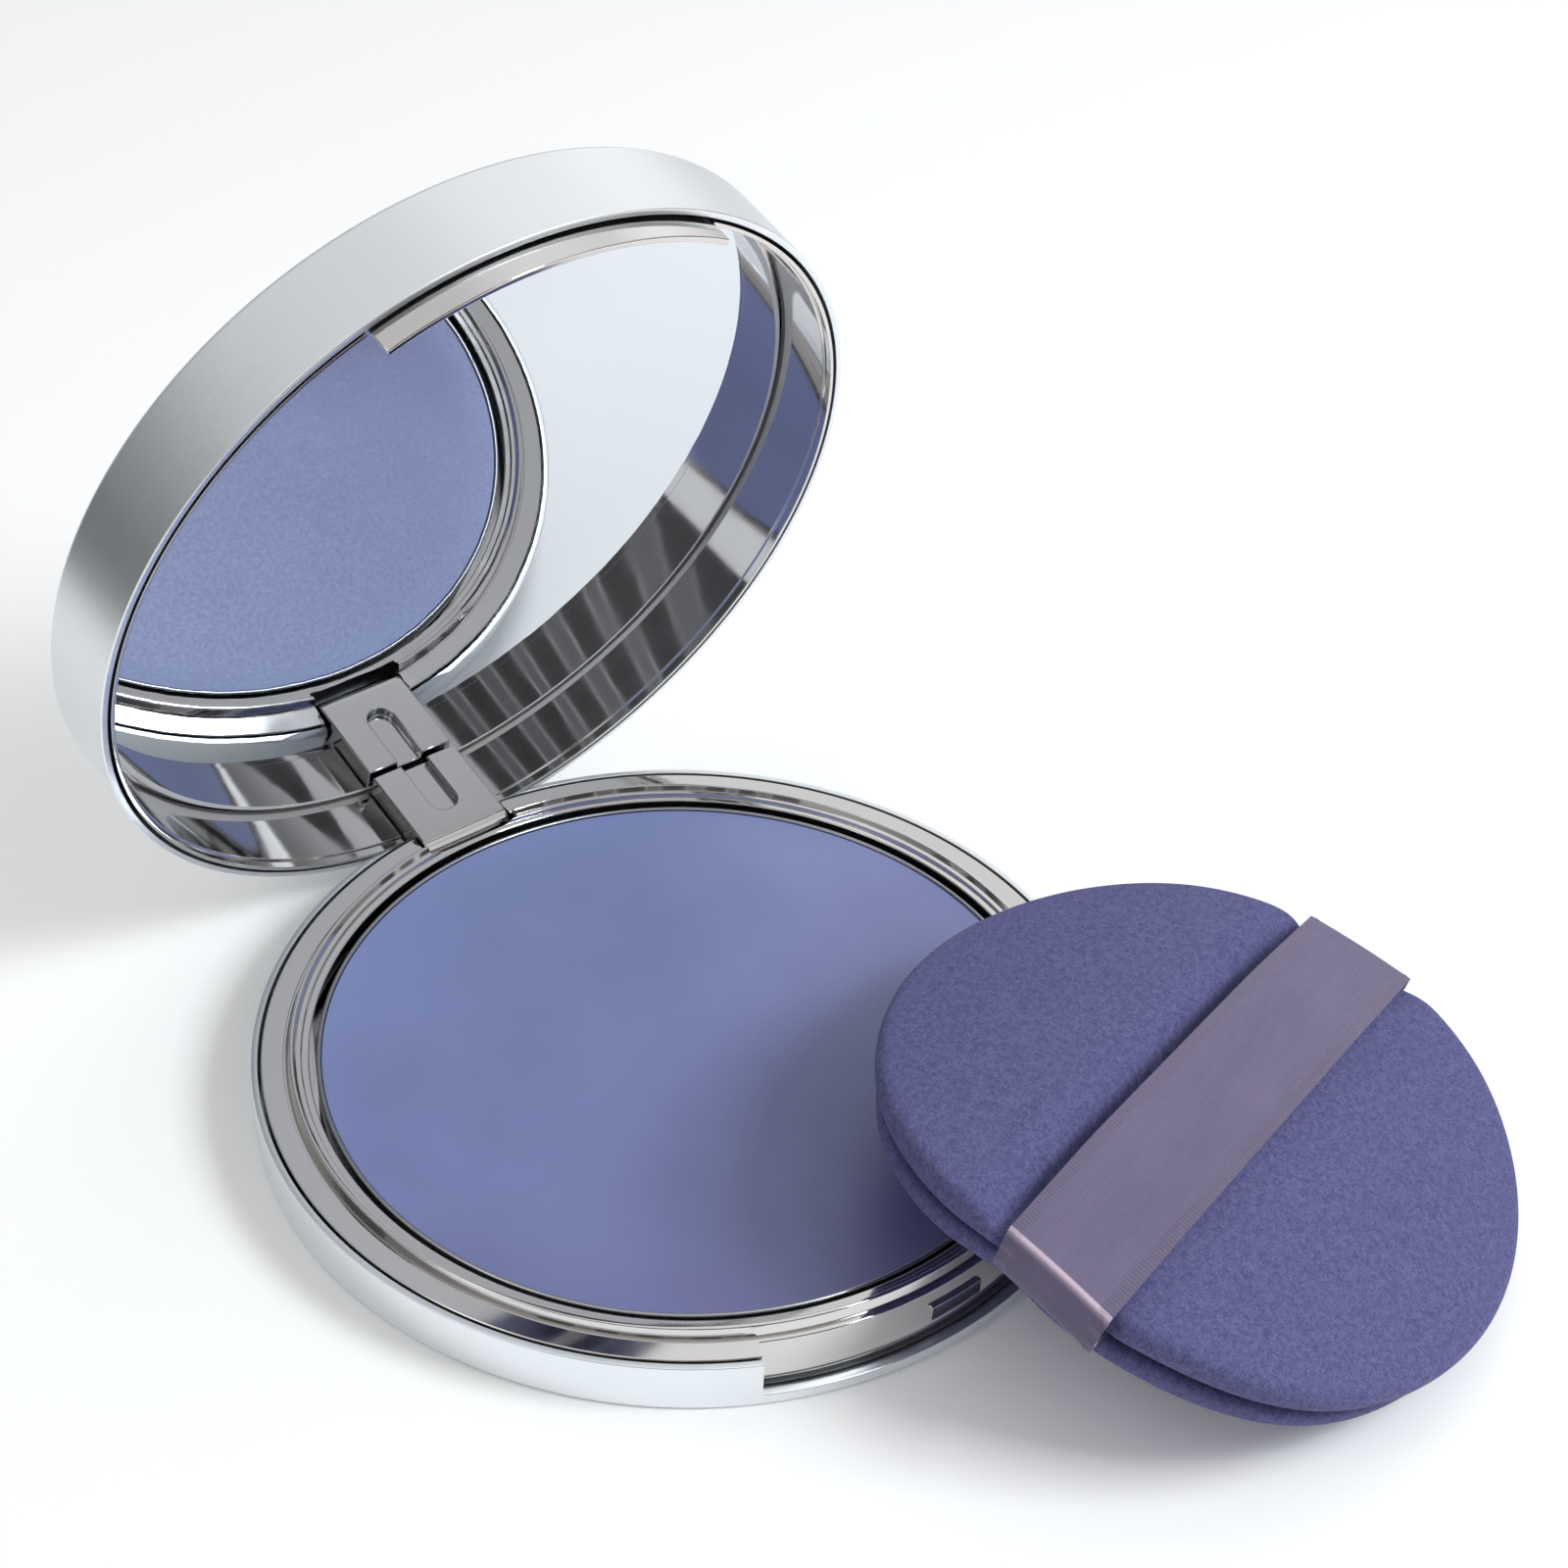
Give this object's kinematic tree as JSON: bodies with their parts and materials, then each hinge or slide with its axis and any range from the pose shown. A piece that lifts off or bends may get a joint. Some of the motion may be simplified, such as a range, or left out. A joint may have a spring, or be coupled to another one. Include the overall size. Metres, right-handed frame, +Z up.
{
  "type": "powder compact",
  "caption": "Round flat compact with a hinged mirror lid, a cream-filled pan and a round ribboned puff leaning on its base.",
  "frame": {"origin": "centre of the underside of the base, where the compact stands", "axes": "+Z up, the hinge is on the +Y side with its pin along X, the thumb notch is on the -Y side, the puff lies towards +X -Y"},
  "size_m": [0.0853, 0.1059, 0.0718],
  "materials": {
    "satin_case": "satin silver, finely brushed round the wall",
    "chrome_trim": "polished chrome plate on moulded plastic",
    "pin_steel": "drawn steel",
    "pan_metal": "pressed aluminium",
    "mirror": "silvered glass",
    "glue": "adhesive film",
    "cream": "smooth pressed cream, soft sheen",
    "puff_foam": "flocked foam, matte",
    "ribbon": "satin ribbon with ribbed edges"
  },
  "bodies": {
    "base": {"base_shell": "satin_case", "base_bezel": "chrome_trim", "pan_adhesive": "glue", "pan_tray": "pan_metal", "cream_fill": "cream", "hinge_pin": "pin_steel"},
    "lid": {"lid_shell": "satin_case", "lid_liner": "chrome_trim", "hinge_knuckle": "chrome_trim", "latch_tongue": "chrome_trim", "mirror_adhesive": "glue", "mirror_glass": "mirror"},
    "puff": {"puff_back_pad": "puff_foam", "puff_bond_film": "glue", "puff_face_pad": "puff_foam", "puff_ribbon": "ribbon"}
  },
  "joints": [
    {"name": "lid_hinge", "type": "hinge", "parent": "base", "child": "lid", "pos_m": [0, 0.0335, 0.00273], "axis": [1, 0, 0], "range_deg": [-14.5, 75.5]},
    {"name": "puff_slide", "type": "slide", "parent": "base", "child": "puff", "axis": [0.866, 0.5, 0], "range_m": [-0.0125, 0.061]}
  ],
  "couplings": [
    {"joint": "puff_slide", "follows": "lid_hinge", "m_per_rad": 0.0456}
  ]
}
